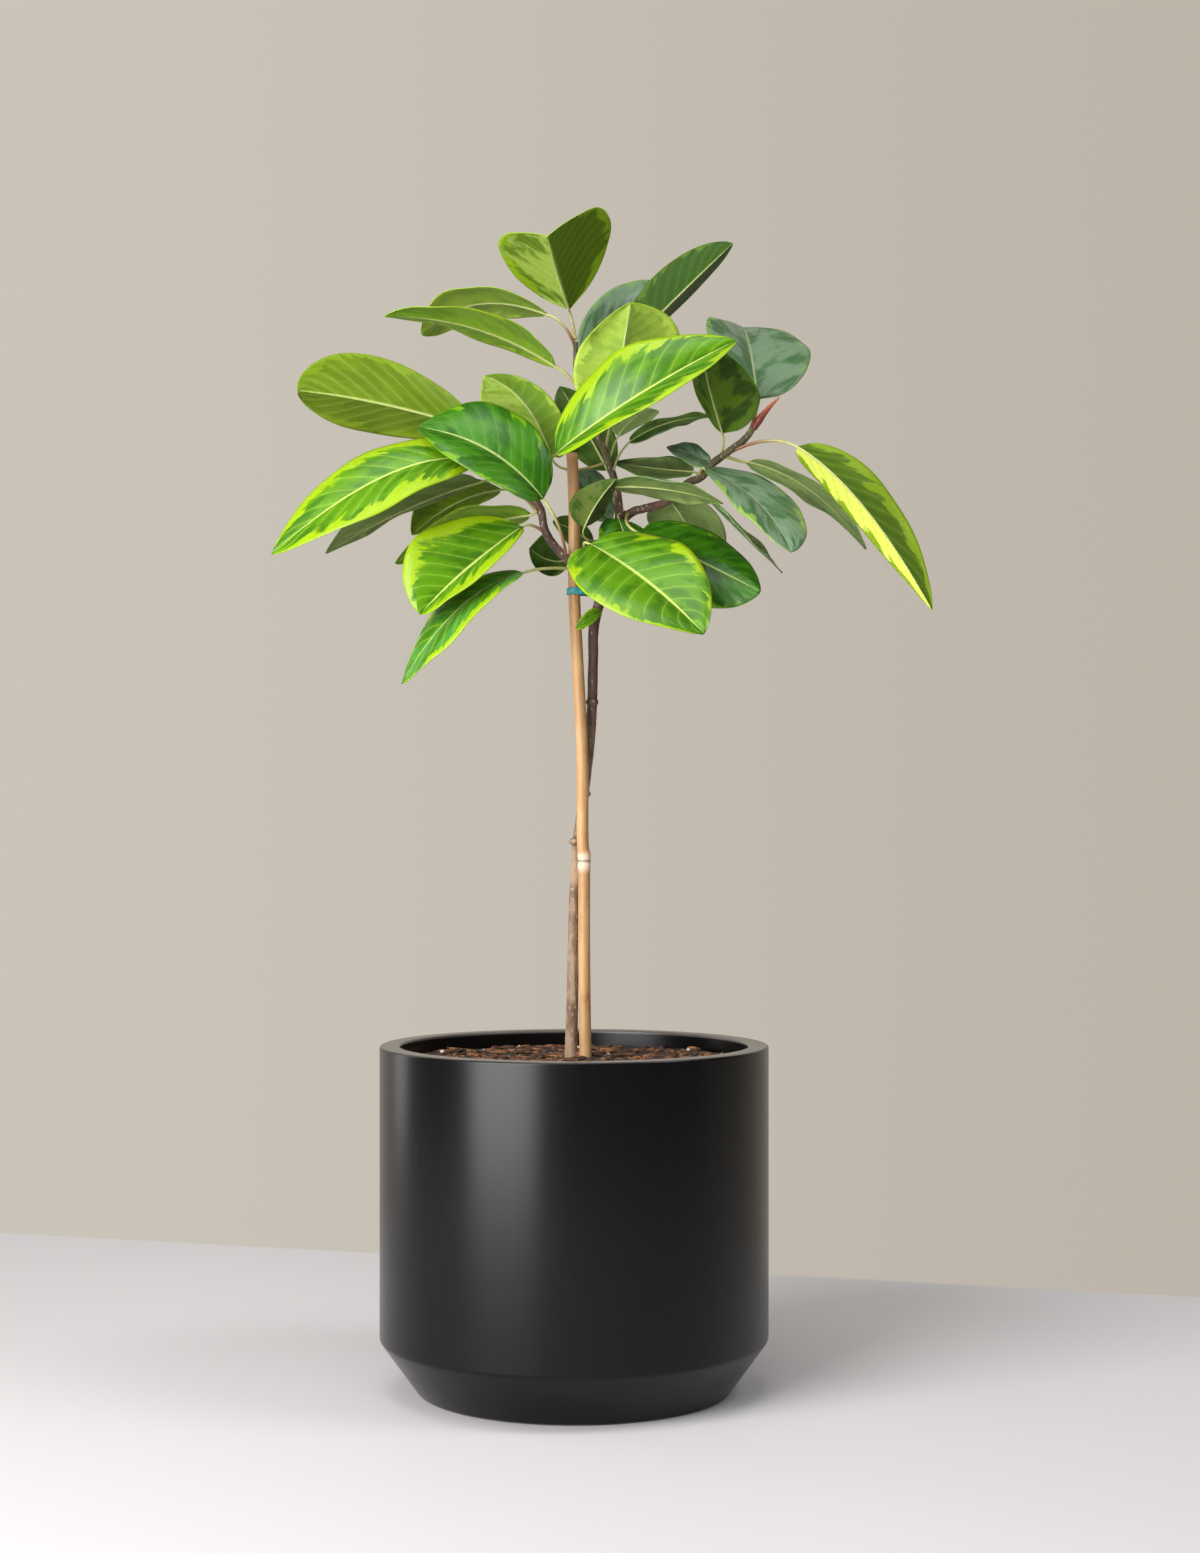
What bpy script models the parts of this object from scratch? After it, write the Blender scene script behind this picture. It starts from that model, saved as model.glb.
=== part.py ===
"""A potted rubber plant trained as a small tree: planter, soil, bamboo stake, trunk and leaves.

Metres, +Z up. The origin is the centre of the planter's foot, and the plant's front faces -Y.
"""

import math

import bmesh
import bpy
from mathutils import Vector

MM = 0.001
GAP = 0.0003

POT_RADIUS = 0.175
POT_HEIGHT = 0.309
POT_FOOT_RADIUS = 0.141
POT_CHAMFER_HEIGHT = 0.047
POT_WALL = 0.0185
POT_FLOOR = 0.020
POT_EDGE_ROUND = 0.0025
POT_SEGMENTS = 56

SOIL_LEVEL = 0.2945
SOIL_BUMP = 0.0022
SOIL_RINGS = 6
SOIL_UNDERSIDE = POT_FLOOR + GAP

TUBE_SIDES_STEP = 2
PETIOLE_WIDTH = 0.0026
PETIOLE_THICKNESS = 0.0026
BLADE_THICKNESS = 0.0008
BLADE_EDGE_WIDTH = 0.0006
BLADE_WIDEST = 0.45
BLADE_BELLY = 0.07
LEAF_COLUMNS = 4
PETIOLE_ROWS = 3
BLADE_ROWS = 8

TIE_HEIGHT = 0.006
TIE_THICKNESS = 0.0010
TIE_LEVEL = 0.717
# Centre and radius in millimetres of the band's two round ends.
TIE_ROUND_TRUNK = (25.0, 7.0, 7.1)
TIE_ROUND_STAKE = (0.0, -6.0, 6.4)

# Paths are centre-line points in millimetres, each with its radius last.
TRUNK = [
    (-4, 7, 205, 4.5),
    (-3, 7, 260, 6.0),
    (-3, 7, 297, 6.2),
    (-2, 7, 340, 5.6),
    (-1, 7, 394, 5.3),
    (2, 7, 475, 5.2),
    (9, 7, 539, 5.0),
    (14, 7, 584, 5.0),
    (16, 7, 618, 4.9),
    (17, 7, 656, 4.8),
    (18, 7, 688, 5.0),
    (23, 7, 710, 5.2),
    (32, 6, 747, 5.2),
    (43, 6, 792, 5.0),
]
RIGHT_BRANCH = [
    (39, 6, 775, 4.4),
    (51, 5, 789, 4.2),
    (64, 3, 793, 4.0),
    (84, 0, 799, 3.9),
    (104, -4, 816, 3.8),
    (113, -6, 819, 3.9),
    (125, -8, 832, 3.8),
    (140, -10, 843, 3.6),
    (155, -12, 855, 3.4),
    (161, -12, 864, 3.2),
]
LEFT_BRANCH = [
    (28, 6, 724, 4.6),
    (17, -8, 734, 4.4),
    (8, -17, 738, 4.2),
    (-2, -21, 741, 4.2),
    (-12, -21, 750, 4.2),
    (-25, -21, 768, 4.0),
    (-32, -21, 793, 3.8),
    (-42, -22, 801, 3.6),
    (-49, -24, 812, 3.3),
]
LEADER = [
    (41, 6, 782, 4.4),
    (39, 7, 806, 4.0),
    (32, 8, 833, 3.8),
    (23, 9, 856, 3.5),
    (10, 10, 883, 3.2),
    (3, 10, 905, 3.0),
    (1, 10, 945, 2.7),
]
STAKE = [
    (10, -6, 130, 5.2),
    (10, -6, 298, 5.5),
    (9, -6, 394, 5.5),
    (9, -6, 464, 5.5),
    (9, -6, 470, 6.2),
    (9, -6, 480, 6.2),
    (8, -6, 486, 5.5),
    (7, -6, 573, 5.5),
    (3, -6, 655, 5.4),
    (0, -6, 717, 5.4),
    (0, -6, 790, 5.4),
    (-2, -6, 842, 5.3),
]
LEAF_SCARS = [(1, 4, 492, 6.4), (9, 6, 535, 6.2), (16, 6, 618, 6.3)]
BUD_RIGHT = [(161, -13, 862, 2.8), (166, -14, 870, 3.6), (174, -15, 880, 2.4), (184, -16, 890, 0.5)]
BUD_LEFT = [(-49, -24, 811, 2.6), (-50, -24, 817, 3.2), (-51, -24, 826, 2.2), (-53, -24, 837, 0.5)]

# One row a leaf, in millimetres: where the stalk leaves the stem, the blade's base, the middle
# of its midrib, its tip, then its left and right edges at the widest place.
LEAVES = [
    ("top_a", (1, 10, 947), (-5, 9, 974), (-16, -45, 998),
     (-22, -100, 1012), (32, -38, 1044), (-66, -30, 1017)),
    ("top_b", (3, 10, 907), (44, 50, 944), (95, 75, 1000),
     (148, 90, 1054), (103, 112, 1003), (77, 100, 1028)),
    ("top_c", (1, 10, 917), (5, 40, 939), (44, 110, 986),
     (93, 150, 1022), (33, 118, 1017), (61, 110, 958)),
    ("top_d", (28, 9, 845), (34, 0, 877), (44, -28, 930),
     (50, -50, 967), (95, -14, 933), (0, -14, 919)),
    ("top_e", (-32, -20, 797), (-16, -30, 837), (55, -70, 880),
     (142, -66, 930), (36, -56, 920), (64, -106, 865)),
    ("out_a", (3, 10, 905), (-17, 5, 922), (-90, -10, 953),
     (-168, -30, 959), (-82, -52, 960), (-81, 30, 950)),
    ("out_b", (1, 10, 939), (-25, 28, 974), (-91, 50, 988),
     (-142, 62, 962), (-101, 16, 997), (-88, 90, 982)),
    ("out_c", (-34, -21, 794), (-87, 5, 864), (-171, 5, 887),
     (-249, -5, 898), (-184, 12, 933), (-190, 42, 868)),
    ("left_a", (-49, -23, 810), (-87, -40, 830), (-166, -60, 812),
     (-263, -70, 743), (-147, -95, 786), (-178, -30, 841)),
    ("left_b", (-35, -19, 796), (-85, -10, 815), (-151, -12, 790),
     (-223, -10, 751), (-157, -48, 801), (-148, 28, 793)),
    ("left_c", (-28, -20, 779), (-67, 16, 812), (-109, 46, 804),
     (-151, 56, 776), (-129, 21, 819), (-104, 56, 795)),
    ("left_d", (-7, -21, 745), (-27, -50, 794), (-76, -48, 837),
     (-138, -25, 861), (-90, -80, 815), (-52, -30, 875)),
    ("mid_a", (31, 8, 836), (-22, 15, 843), (-46, 5, 889),
     (-81, -5, 911), (-13, 20, 883), (-77, 15, 882)),
    ("right_a", (156, -11, 857), (165, -2, 891), (162, 60, 948),
     (160, 125, 982), (121, 45, 964), (217, 50, 944)),
    ("right_b", (130, -9, 835), (133, -14, 858), (119, -34, 899),
     (110, -46, 937), (164, -28, 894), (107, -8, 904)),
    ("right_c", (141, -10, 842), (198, -30, 843), (257, -35, 789),
     (320, -20, 699), (239, -12, 793), (279, 0, 815)),
    ("right_d", (135, -10, 838), (155, -5, 833), (216, 20, 810),
     (267, 35, 760), (208, -15, 798), (226, 45, 820)),
    ("right_e", (113, -6, 819), (117, -16, 826), (161, -52, 791),
     (188, -100, 741), (193, -30, 798), (142, -75, 784)),
    ("right_f", (125, -8, 831), (124, 4, 834), (106, 10, 843),
     (84, 22, 851), (104, -4, 832), (109, 24, 855)),
    ("right_g", (104, -4, 816), (119, 0, 803), (156, 10, 771),
     (189, 15, 736), (153, -26, 767), (160, 46, 777)),
    ("right_h", (32, 8, 838), (40, 18, 861), (53, 50, 881),
     (70, 80, 897), (74, 60, 886), (38, 50, 888)),
    ("right_i", (35, 8, 824), (50, 0, 852), (85, 10, 871),
     (123, 12, 877), (84, -20, 860), (85, 40, 883)),
    ("core_a", (36, 6, 764), (9, -25, 772), (21, -40, 792),
     (38, -50, 812), (30, -5, 792), (-2, -20, 799)),
    ("core_b", (40, 7, 803), (34, -30, 808), (83, -45, 803),
     (131, -55, 789), (84, -12, 798), (80, -80, 807)),
    ("core_c", (113, -6, 819), (107, 5, 826), (73, 22, 832),
     (35, 42, 841), (86, 42, 845), (73, -3, 819)),
    ("core_d", (34, 8, 826), (30, 20, 830), (9, 45, 873),
     (-14, 60, 914), (32, 50, 879), (-12, 50, 864)),
    ("core_e", (43, 6, 790), (34, 25, 785), (16, 55, 808),
     (0, 80, 839), (0, 60, 804), (29, 60, 827)),
    ("core_f", (84, 0, 799), (85, 8, 802), (104, 25, 776),
     (115, 35, 736), (69, 30, 781), (137, 30, 779)),
    ("front_a", (27, 6, 727), (15, -42, 755), (66, -90, 715),
     (111, -130, 668), (98, -70, 748), (12, -112, 703)),
    ("front_b", (49, 5, 789), (59, -30, 766), (113, -45, 739),
     (163, -70, 710), (123, -20, 768), (104, -55, 702)),
    ("front_c", (44, 6, 788), (40, -8, 782), (52, -14, 748),
     (66, -16, 712), (84, -8, 748), (24, -12, 757)),
    ("front_d", (27, 7, 729), (-8, 12, 747), (-24, 16, 748),
     (-41, 20, 759), (-26, 25, 772), (-24, 10, 733)),
    ("front_e", (33, 6, 752), (16, 20, 762), (-2, 30, 777),
     (-20, 35, 785), (3, 35, 788), (-4, 25, 762)),
    ("low_a", (-25, -20, 767), (-46, -30, 772), (-94, -60, 730),
     (-133, -75, 690), (-79, -98, 721), (-135, -60, 760)),
    ("low_b", (-33, -20, 788), (-39, -15, 785), (-101, 5, 773),
     (-163, 15, 745), (-100, -30, 787), (-97, 45, 765)),
    ("low_c", (17, -8, 734), (-46, -50, 729), (-100, -75, 694),
     (-149, -80, 629), (-85, -108, 684), (-104, -42, 714)),
    ("sprout", (20, 6, 697), (24, -3, 698), (13, -14, 692),
     (1, -18, 683), (13, -17, 685), (15, -9, 701)),
]


def clear_scene():
    for old in list(bpy.data.objects):
        bpy.data.objects.remove(old, do_unlink=True)


def new_collection(name):
    group = bpy.data.collections.new(name)
    bpy.context.scene.collection.children.link(group)
    return group


def surface(name, colour, roughness):
    """A plain Principled material."""
    made = bpy.data.materials.new(name)
    made.use_nodes = True
    shader = made.node_tree.nodes["Principled BSDF"]
    shader.inputs["Base Color"].default_value = (*colour, 1.0)
    shader.inputs["Roughness"].default_value = roughness
    shader.inputs["Metallic"].default_value = 0.0
    return made


def add_object(name, mesh, group, material=None, location=(0.0, 0.0, 0.0)):
    made = bpy.data.objects.new(name, mesh)
    made.location = location
    group.objects.link(made)
    if material:
        mesh.materials.append(material)
    return made


def make_tool(tool):
    tool.hide_render = True
    tool.display_type = "WIRE"


def smooth(mesh):
    for face in mesh.polygons:
        face.use_smooth = True


def boolean(target, other, operation):
    step = target.modifiers.new(operation.lower() + "_" + other.name, "BOOLEAN")
    step.operation = operation
    step.solver = "EXACT"
    step.object = other
    return step


def rounded_profile(corners, radius):
    """The corners of an open (radius, height) line, each but the first and last turned into a round."""
    points = [Vector(corners[0])]
    for index in range(1, len(corners) - 1):
        here = Vector(corners[index])
        start = here + (Vector(corners[index - 1]) - here).normalized() * radius
        end = here + (Vector(corners[index + 1]) - here).normalized() * radius
        points += [start, bezier(start, here, end, 0.5), end]
    return points + [Vector(corners[-1])]


def spun(name, profile, segments, group, material):
    """A body of revolution about Z, from a profile that starts and ends on the axis."""
    mesh = bpy.data.meshes.new(name)
    edges = [(i, i + 1) for i in range(len(profile) - 1)]
    mesh.from_pydata([(p[0], 0.0, p[1]) for p in profile], edges, [])
    made = add_object(name, mesh, group, material)
    turn = made.modifiers.new("turn", "SCREW")
    turn.axis = "Z"
    turn.steps = segments
    turn.render_steps = segments
    turn.use_merge_vertices = True
    turn.merge_threshold = 0.0001
    turn.use_smooth_shade = True
    return made


def lengthened(path, extra):
    """The path with both ends moved outwards by extra metres."""
    longer = list(path)
    for end, inner in ((0, 1), (-1, -2)):
        here = Vector(path[end][:3])
        out = (here - Vector(path[inner][:3])).normalized() * (extra / MM)
        longer[end] = (*(here + out), path[end][3])
    return longer


def tube(name, path, extra, group, material=None):
    """A closed round tube along a path, its radii grown by extra."""
    curve = bpy.data.curves.new(name + "_path", "CURVE")
    curve.dimensions = "3D"
    curve.bevel_depth = 1.0
    curve.bevel_resolution = TUBE_SIDES_STEP
    curve.use_fill_caps = True
    curve.resolution_u = 2
    line = curve.splines.new("BEZIER")
    line.bezier_points.add(len(path) - 1)
    for knot, (x, y, z, radius) in zip(line.bezier_points, lengthened(path, extra)):
        knot.co = (x * MM, y * MM, z * MM)
        knot.radius = radius * MM + extra
        knot.handle_left_type = "AUTO"
        knot.handle_right_type = "AUTO"
    drawn = bpy.data.objects.new(name + "_path", curve)
    group.objects.link(drawn)
    bpy.context.view_layer.update()
    view = bpy.context.evaluated_depsgraph_get()
    mesh = bpy.data.meshes.new_from_object(drawn.evaluated_get(view))
    place = drawn.matrix_world.copy()
    bpy.data.objects.remove(drawn, do_unlink=True)
    weld(mesh)
    mesh.name = name
    made = add_object(name, mesh, group, material)
    made.matrix_world = place
    smooth(mesh)
    return made


def weld(mesh):
    shape = bmesh.new()
    shape.from_mesh(mesh)
    bmesh.ops.remove_doubles(shape, verts=shape.verts, dist=0.00001)
    bmesh.ops.recalc_face_normals(shape, faces=shape.faces)
    shape.to_mesh(mesh)
    shape.free()


def knob(name, place, extra, group):
    """The swelling an old leaf leaves on the trunk."""
    x, y, z, radius = place
    mesh = bpy.data.meshes.new(name)
    shape = bmesh.new()
    bmesh.ops.create_uvsphere(shape, u_segments=10, v_segments=6, radius=radius * MM + extra)
    bmesh.ops.scale(shape, verts=shape.verts, vec=(1.0, 1.0, 0.6))
    shape.to_mesh(mesh)
    shape.free()
    made = add_object(name, mesh, group)
    made.location = (x * MM, y * MM, z * MM)
    return made


def woody_stem(name, extra, group, tools, material=None):
    """Trunk, two side branches, leader and leaf scars as one body."""
    stem = tube(name, TRUNK, extra, group, material)
    others = [
        tube(name + "_right", RIGHT_BRANCH, extra, tools),
        tube(name + "_left", LEFT_BRANCH, extra, tools),
        tube(name + "_leader", LEADER, extra, tools),
    ]
    for number, place in enumerate(LEAF_SCARS):
        others.append(knob("%s_scar_%d" % (name, number), place, extra, tools))
    for other in others:
        make_tool(other)
        boolean(stem, other, "UNION")
    return stem


def frozen(made, group):
    """The same body with its modifiers applied."""
    bpy.context.view_layer.update()
    view = bpy.context.evaluated_depsgraph_get()
    mesh = bpy.data.meshes.new_from_object(made.evaluated_get(view))
    kept = add_object(made.name + "_body", mesh, group)
    kept.matrix_world = made.matrix_world.copy()
    make_tool(kept)
    return kept


def bezier(start, control, end, t):
    return start * (1 - t) ** 2 + control * (2 * t * (1 - t)) + end * t**2


def bezier_direction(start, control, end, t):
    return ((control - start) * (1 - t) + (end - control) * t).normalized()


def blade_width(t):
    """Share of the full half-width at t along the midrib."""
    return math.sin(math.pi * min(max(t, 0.0), 1.0) ** 0.868) ** (0.5 + 0.22 * t)


class LeafShape:
    """A leaf's skin: across runs -1 to 1 from left to right, along runs 0 to 1 over stalk or blade."""

    def __init__(self, foot, base, middle, tip, left, right):
        self.foot = Vector(foot) * MM
        self.base = Vector(base) * MM
        self.tip = Vector(tip) * MM
        self.control = Vector(middle) * MM * 2 - (self.base + self.tip) / 2
        self.widest = bezier(self.base, self.control, self.tip, BLADE_WIDEST)
        self.heading = bezier_direction(self.base, self.control, self.tip, BLADE_WIDEST)
        self.left = Vector(left) * MM - self.widest
        self.right = Vector(right) * MM - self.widest
        self.up = self.heading.cross(self.left - self.right).normalized()
        start = bezier_direction(self.base, self.control, self.tip, 0.0)
        self.stalk_control = self.base - start * (self.base - self.foot).length * 0.45
        self.stalk_side = (self.turned(self.left - self.right, 0.0)).normalized()

    def turned(self, offset, t):
        """An offset carried from the widest place to t, turning with the midrib."""
        now = bezier_direction(self.base, self.control, self.tip, t)
        return self.heading.rotation_difference(now) @ offset

    def blade(self, across, t):
        middle = bezier(self.base, self.control, self.tip, t)
        edge = self.left if across < 0 else self.right
        share = abs(across)
        reach = edge * blade_width(t)
        if reach.length < BLADE_EDGE_WIDTH:
            reach = edge.normalized() * BLADE_EDGE_WIDTH
        belly = self.up * (reach.length * BLADE_BELLY * 4 * share * (1 - share))
        return middle + self.turned(reach * share + belly, t)

    def stalk(self, across, t):
        middle = bezier(self.foot, self.stalk_control, self.base, t)
        return middle - self.stalk_side * (across * PETIOLE_WIDTH / 2)


def leaf(name, points, cutters, group, material):
    """A blade and its stalk as one thickened skin, cut back where it meets the stem."""
    form = LeafShape(*points)
    rows = PETIOLE_ROWS + BLADE_ROWS
    mesh = bpy.data.meshes.new(name)
    shape = bmesh.new()
    bmesh.ops.create_grid(shape, x_segments=LEAF_COLUMNS, y_segments=rows, size=1.0)
    thickness = {}
    for vert in shape.verts:
        across = vert.co.x
        row = round((vert.co.y + 1) / 2 * rows)
        if row < PETIOLE_ROWS:
            vert.co = form.stalk(across, row / PETIOLE_ROWS) - form.base
            thickness[vert.index] = PETIOLE_THICKNESS
        else:
            t = (row - PETIOLE_ROWS) / BLADE_ROWS
            vert.co = form.blade(across, t) - form.base
            rib = (1 - t) * max(0.0, 1 - abs(across) * 2)
            thickness[vert.index] = BLADE_THICKNESS + (PETIOLE_THICKNESS - BLADE_THICKNESS) * rib * 0.8
    shape.to_mesh(mesh)
    shape.free()
    smooth(mesh)
    made = add_object(name, mesh, group, material, form.base)
    weights = made.vertex_groups.new(name="thickness")
    for index, value in thickness.items():
        weights.add([index], value / PETIOLE_THICKNESS, "REPLACE")
    skin = made.modifiers.new("skin", "SOLIDIFY")
    skin.thickness = PETIOLE_THICKNESS
    skin.offset = 0.0
    skin.vertex_group = weights.name
    for cutter in cutters:
        boolean(made, cutter, "DIFFERENCE")
    return made


def planter(group, material):
    """Hollow planter with a closed floor, its profile run from the floor's centre over the rim."""
    inner = POT_RADIUS - POT_WALL
    corners = [
        (0.0, POT_FLOOR),
        (inner - 0.026, POT_FLOOR),
        (inner, POT_FLOOR + 0.040),
        (inner, POT_HEIGHT),
        (POT_RADIUS, POT_HEIGHT),
        (POT_RADIUS, POT_CHAMFER_HEIGHT),
        (POT_FOOT_RADIUS, 0.0),
        (0.0, 0.0),
    ]
    return spun("pot", rounded_profile(corners, POT_EDGE_ROUND), POT_SEGMENTS, group, material)


def soil_fill(group, cutters, material):
    """Potting mix from the planter's floor to just under its rim, with an uneven top."""
    outer = POT_RADIUS - POT_WALL - GAP
    top = [(outer * ring / SOIL_RINGS, SOIL_LEVEL) for ring in range(SOIL_RINGS + 1)]
    side = [(outer, POT_FLOOR + 0.043), (outer - 0.028, SOIL_UNDERSIDE), (0.0, SOIL_UNDERSIDE)]
    fill = spun("soil_core", top + side, POT_SEGMENTS, group, material)
    bpy.context.view_layer.update()
    view = bpy.context.evaluated_depsgraph_get()
    mesh = bpy.data.meshes.new_from_object(fill.evaluated_get(view))
    bpy.data.objects.remove(fill, do_unlink=True)
    for vert in mesh.vertices:
        if vert.co.z > SOIL_LEVEL - 0.001:
            x, y = vert.co.x, vert.co.y
            lump = math.sin(x * 95 + 1.3) * math.cos(y * 80 - 0.6) + 0.6 * math.sin(x * 41 - y * 57)
            vert.co.z += SOIL_BUMP * lump
    weld(mesh)
    smooth(mesh)
    made = add_object("soil", mesh, group)
    for cutter in cutters:
        boolean(made, cutter, "DIFFERENCE")
    return made


def plant_tie(group, material):
    """A flat band looped round the stake and the trunk together."""
    bearing = math.atan2(TIE_ROUND_TRUNK[1] - TIE_ROUND_STAKE[1], TIE_ROUND_TRUNK[0] - TIE_ROUND_STAKE[0])
    loop = []
    for end, (cx, cy, reach) in ((0.0, TIE_ROUND_TRUNK), (math.pi, TIE_ROUND_STAKE)):
        for step in range(9):
            angle = bearing + end - math.pi / 2 + math.pi * step / 8
            loop.append(((cx + reach * math.cos(angle)) * MM, (cy + reach * math.sin(angle)) * MM))
    count = len(loop)
    low = TIE_LEVEL - TIE_HEIGHT / 2
    verts = [(x, y, low) for x, y in loop] + [(x, y, low + TIE_HEIGHT) for x, y in loop]
    faces = [(i, (i + 1) % count, count + (i + 1) % count, count + i) for i in range(count)]
    mesh = bpy.data.meshes.new("tie")
    mesh.from_pydata(verts, [], faces)
    smooth(mesh)
    made = add_object("tie", mesh, group, material)
    band = made.modifiers.new("band", "SOLIDIFY")
    band.thickness = TIE_THICKNESS
    band.offset = 0.0
    return made


def build():
    clear_scene()
    plant = new_collection("potted_rubber_plant")
    tools = new_collection("tools")
    pot_black = surface("pot_black", (0.012, 0.011, 0.011), 0.45)
    earth = surface("soil_brown", (0.035, 0.022, 0.014), 0.95)
    bark = surface("bark_brown", (0.10, 0.065, 0.042), 0.75)
    bamboo = surface("bamboo_tan", (0.55, 0.33, 0.15), 0.55)
    teal = surface("tie_teal", (0.02, 0.22, 0.22), 0.50)
    bud_red = surface("bud_red", (0.35, 0.07, 0.03), 0.45)
    leaf_green = surface("leaf_green", (0.13, 0.30, 0.03), 0.35)

    grown_stem = woody_stem("stem_clearance", GAP, tools, tools)
    stem_clearance = frozen(grown_stem, tools)
    bpy.data.objects.remove(grown_stem, do_unlink=True)
    stake_clearance = tube("stake_clearance", STAKE, GAP, tools)
    clearances = [stem_clearance]
    for name, path in (("bud_right", BUD_RIGHT), ("bud_left", BUD_LEFT)):
        clearances.append(tube(name + "_clearance", path, GAP, tools))
    for tool in [stake_clearance] + clearances:
        make_tool(tool)

    planter(plant, pot_black)
    soil_fill(plant, [stem_clearance, stake_clearance], earth)
    woody_stem("stem", 0.0, plant, tools, bark)
    tube("stake", STAKE, 0.0, plant, bamboo)
    plant_tie(plant, teal)
    for name, path in (("bud_right", BUD_RIGHT), ("bud_left", BUD_LEFT)):
        bud = tube(name, path, 0.0, plant, bud_red)
        boolean(bud, stem_clearance, "DIFFERENCE")
    for name, *points in LEAVES:
        leaf("leaf_" + name, points, clearances, plant, leaf_green)


build()
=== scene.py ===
import math
import random

import bmesh
import bpy
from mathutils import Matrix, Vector, noise


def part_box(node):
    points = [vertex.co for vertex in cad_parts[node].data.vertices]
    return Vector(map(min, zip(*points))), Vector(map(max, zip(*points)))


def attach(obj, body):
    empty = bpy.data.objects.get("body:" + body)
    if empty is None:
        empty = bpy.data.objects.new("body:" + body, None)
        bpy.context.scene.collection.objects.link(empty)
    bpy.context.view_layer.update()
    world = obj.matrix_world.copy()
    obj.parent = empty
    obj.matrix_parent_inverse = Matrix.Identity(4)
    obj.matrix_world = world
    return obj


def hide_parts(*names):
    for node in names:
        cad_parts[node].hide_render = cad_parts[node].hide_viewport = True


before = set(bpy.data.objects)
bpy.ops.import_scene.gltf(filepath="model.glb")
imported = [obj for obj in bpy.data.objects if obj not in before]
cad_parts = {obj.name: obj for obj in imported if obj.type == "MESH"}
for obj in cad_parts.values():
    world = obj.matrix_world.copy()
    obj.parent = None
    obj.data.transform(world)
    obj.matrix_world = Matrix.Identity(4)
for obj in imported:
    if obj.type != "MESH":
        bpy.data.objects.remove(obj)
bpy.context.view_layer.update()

MM = 0.001
ROOT = "root"

# Camera, level with the middle of the trunk.
CAMERA_PLACE = (0.0232, -2.131, 0.496)
CAMERA_LENS = 54.75
CAMERA_SHIFT = 0.039

CAMERA_BACK = 2.131
WALL_LEFT = (0.596, 0.552, 0.485)
WALL_RIGHT = (0.515, 0.465, 0.400)
BACKDROP_AWAY = 9.0
SURROUND_COLOUR = (0.130, 0.126, 0.121)
FLOOR_COLOUR = (0.605, 0.582, 0.585)
# The floor turns into the backdrop past the line through these two points.
BACKDROP_LEFT = (-0.729, 0.83)
BACKDROP_RIGHT = (0.670, 0.416)

POT_LOW, POT_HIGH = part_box("pot")
POT_RADIUS = POT_HIGH.x
POT_HEIGHT = POT_HIGH.z
POT_FOOT_RADIUS = 0.141
POT_CHAMFER_HEIGHT = 0.047
POT_WALL = 0.0185
POT_FLOOR = 0.020
POT_EDGE_ROUND = 0.0025
POT_SEGMENTS = 160
POT_ROUND_STEPS = 6
# The flat top of the rim, between these two heights, is coloured pale grey.
RIM_PALE_FROM = 0.3055
RIM_PALE_TO = 0.3082

SOIL_LEVEL = 0.2940
SOIL_RINGS = 46
SOIL_SEGMENTS = 150
SOIL_DEPTH = 0.05
BARK_CHIPS = 1300
PALE_GRAINS = 22

TUBE_SIDES_STEP = 5
STALK_RADIUS = 0.0014
STALK_SIDES = 10
STALK_ROWS = 14
RIB_ROWS = 26
RIB_END = 0.93
BLADE_THICKNESS = 0.0006
BLADE_EDGE_WIDTH = 0.0006
BLADE_WIDEST = 0.45
BLADE_BELLY = 0.07
BLADE_COLUMNS = 28
BLADE_ROWS = 46
VEINS = 10
VEIN_SWEEP = 0.22
VEIN_RELIEF = 0.00024
EDGE_WAVE = 0.0016
LEAF_GLOW = 0.16

TIE_HEIGHT = 0.006
TIE_THICKNESS = 0.0010
TIE_LEVEL = 0.717
TIE_ROUND_TRUNK = (25.0, 7.0, 7.1)
TIE_ROUND_STAKE = (0.0, -6.0, 6.4)

# Paths are centre-line points in millimetres, each with its radius last.
TRUNK = [
    (-4, 7, 205, 4.5),
    (-3, 7, 260, 6.0),
    (-3, 7, 297, 6.2),
    (-2, 7, 340, 5.6),
    (-1, 7, 394, 5.3),
    (2, 7, 475, 5.2),
    (9, 7, 539, 5.0),
    (14, 7, 584, 5.0),
    (16, 7, 618, 4.9),
    (17, 7, 656, 4.8),
    (18, 7, 688, 5.0),
    (23, 7, 710, 5.2),
    (32, 6, 747, 5.2),
    (43, 6, 792, 5.0),
]
RIGHT_BRANCH = [
    (39, 6, 775, 4.4),
    (51, 5, 789, 4.2),
    (64, 3, 793, 4.0),
    (84, 0, 799, 3.9),
    (104, -4, 816, 3.8),
    (113, -6, 819, 3.9),
    (125, -8, 832, 3.8),
    (140, -10, 843, 3.6),
    (155, -12, 855, 3.4),
    (161, -12, 864, 3.2),
]
LEFT_BRANCH = [
    (28, 6, 724, 4.6),
    (17, -8, 734, 4.4),
    (8, -17, 738, 4.2),
    (-2, -21, 741, 4.2),
    (-12, -21, 750, 4.2),
    (-25, -21, 768, 4.0),
    (-32, -21, 793, 3.8),
    (-42, -22, 801, 3.6),
    (-49, -24, 812, 3.3),
]
LEADER = [
    (41, 6, 782, 4.4),
    (39, 7, 806, 4.0),
    (32, 8, 833, 3.8),
    (23, 9, 856, 3.5),
    (10, 10, 883, 3.2),
    (3, 10, 905, 3.0),
    (1, 10, 945, 2.7),
]
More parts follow.
